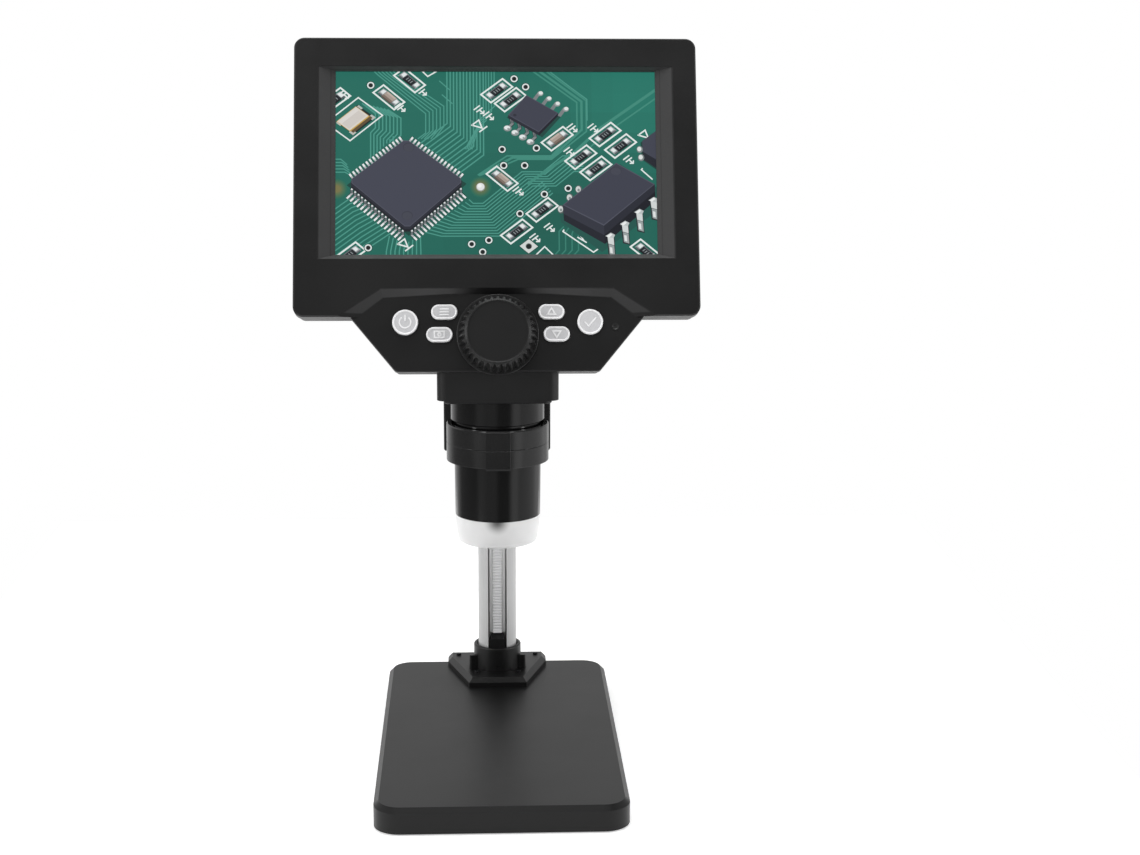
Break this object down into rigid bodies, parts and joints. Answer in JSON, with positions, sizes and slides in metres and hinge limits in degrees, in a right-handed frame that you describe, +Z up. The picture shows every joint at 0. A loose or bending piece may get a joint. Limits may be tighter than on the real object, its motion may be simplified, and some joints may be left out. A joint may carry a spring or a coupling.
{
  "type": "lcd digital microscope",
  "caption": "Desktop digital microscope: leaning flat screen with control panel and focus knob over a vertical barrel, held by a ring carriage on a rack column and flat base.",
  "frame": {"origin": "middle of the base's footprint, at the underside of its rubber pads", "axes": "+X to the right of the user, +Y to the back, towards the column, +Z up"},
  "size_m": [0.193, 0.203, 0.3397],
  "materials": {
    "housing_black": "fine satin moulded black",
    "base_black": "fine satin moulded black, slightly greyer",
    "barrel_black": "glossy black",
    "knob_black": "satin black",
    "column_alu": "satin anodised silver",
    "rack_steel": "bright cut teeth",
    "steel": "plain steel",
    "screw_black": "black oxide",
    "brass": "turned",
    "acetal": "natural acetal",
    "button_grey": "light grey satin",
    "diffuser_white": "translucent white",
    "rubber": "matt black rubber",
    "display": "flat display",
    "board_green": "solder mask",
    "battery_silver": "foil pouch",
    "ribbon_amber": "polyimide",
    "switch_black": "moulded",
    "led_yellow": "phosphor",
    "optical_glass": "polished"
  },
  "bodies": {
    "stand": {"base_cover": "base_black", "base_floor_plate": "base_black", "base_ballast": "steel", "base_screws": "screw_black", "base_feet": "rubber", "column_socket": "base_black", "socket_screws": "screw_black", "column_cross_bolt": "screw_black", "column": "column_alu", "column_rack": "rack_steel", "column_cap": "knob_black"},
    "carriage": {"carriage_body": "housing_black", "carriage_cover": "housing_black", "carriage_side_left": "housing_black", "carriage_side_right": "housing_black", "carriage_screws": "screw_black", "shaft_bushes": "acetal", "ring_upper": "barrel_black", "ring_lower": "barrel_black"},
    "height_drive": {"height_shaft": "steel", "height_pinion": "brass", "height_knob_left": "knob_black", "height_knob_right": "knob_black"},
    "grip_liner": {"grip_liner": "rubber"},
    "head": {"front_bezel": "housing_black", "rear_cover": "housing_black", "neck_housing": "housing_black", "lcd_panel": "display", "main_board": "board_green", "battery": "battery_silver", "display_ribbon": "ribbon_amber", "button_board": "board_green", "tact_switches": "switch_black", "usb_inlet": "steel", "card_slot": "steel", "housing_screws": "screw_black", "indicator_lens": "knob_black", "dimmer_pot": "switch_black", "focus_bush": "acetal", "barrel_collar": "barrel_black", "lower_barrel": "barrel_black", "diffuser": "diffuser_white", "led_board": "acetal", "leds": "led_yellow", "sensor_board": "board_green", "image_sensor": "switch_black"},
    "lens_unit": {"lens_tube": "knob_black", "front_lens": "optical_glass", "focus_rack": "acetal"},
    "focus_drive": {"focus_knob": "knob_black", "focus_shaft": "steel", "focus_pinion": "brass"},
    "dimmer_wheel": {"dimmer_wheel": "knob_black"},
    "power_button": {"power_button": "button_grey"},
    "menu_button": {"menu_button": "button_grey"},
    "mode_button": {"mode_button": "button_grey"},
    "up_button": {"up_button": "button_grey"},
    "down_button": {"down_button": "button_grey"},
    "confirm_button": {"confirm_button": "button_grey"}
  },
  "joints": [
    {"name": "height_slide", "type": "slide", "parent": "stand", "child": "carriage", "axis": [0, 0, 1], "range_m": [-0.062, 0.014]},
    {"name": "height_knob_turn", "type": "hinge", "parent": "carriage", "child": "height_drive", "pos_m": [0, 0.06865, 0.188], "axis": [1, 0, 0], "range_deg": [-201, 889]},
    {"name": "barrel_swivel", "type": "hinge", "parent": "carriage", "child": "grip_liner", "pos_m": [0, 0.0355, 0.146], "axis": [0, 0, 1], "range_deg": [-20, 20]},
    {"name": "head_lift", "type": "slide", "parent": "grip_liner", "child": "head", "axis": [0, 0, 1], "range_m": [-0.0015, 0.026]},
    {"name": "lens_slide", "type": "slide", "parent": "head", "child": "lens_unit", "axis": [0, 0, 1], "range_m": [-0.00698, 0.00698]},
    {"name": "focus_knob_turn", "type": "hinge", "parent": "head", "child": "focus_drive", "pos_m": [0, 0.01529, 0.20203], "axis": [0, -0.9448, 0.3275], "range_deg": [-108, 108]},
    {"name": "dimmer_turn", "type": "hinge", "parent": "head", "child": "dimmer_wheel", "pos_m": [0.0883, 0.04548, 0.25401], "axis": [0, -0.9448, 0.3275], "range_deg": [0, 270]},
    {"name": "power_button_press", "type": "slide", "parent": "head", "child": "power_button", "axis": [0, 0.9448, -0.3275], "range_m": [0, 0.0008], "stiffness_N_per_m": 900},
    {"name": "menu_button_press", "type": "slide", "parent": "head", "child": "menu_button", "axis": [0, 0.9448, -0.3275], "range_m": [0, 0.0008], "stiffness_N_per_m": 900},
    {"name": "mode_button_press", "type": "slide", "parent": "head", "child": "mode_button", "axis": [0, 0.9448, -0.3275], "range_m": [0, 0.0008], "stiffness_N_per_m": 900},
    {"name": "up_button_press", "type": "slide", "parent": "head", "child": "up_button", "axis": [0, 0.9448, -0.3275], "range_m": [0, 0.0008], "stiffness_N_per_m": 900},
    {"name": "down_button_press", "type": "slide", "parent": "head", "child": "down_button", "axis": [0, 0.9448, -0.3275], "range_m": [0, 0.0008], "stiffness_N_per_m": 900},
    {"name": "confirm_button_press", "type": "slide", "parent": "head", "child": "confirm_button", "axis": [0, 0.9448, -0.3275], "range_m": [0, 0.0008], "stiffness_N_per_m": 900}
  ],
  "couplings": [
    {"joint": "height_knob_turn", "follows": "height_slide", "rad_per_m": -250},
    {"joint": "focus_knob_turn", "follows": "lens_slide", "rad_per_m": 269.95}
  ]
}
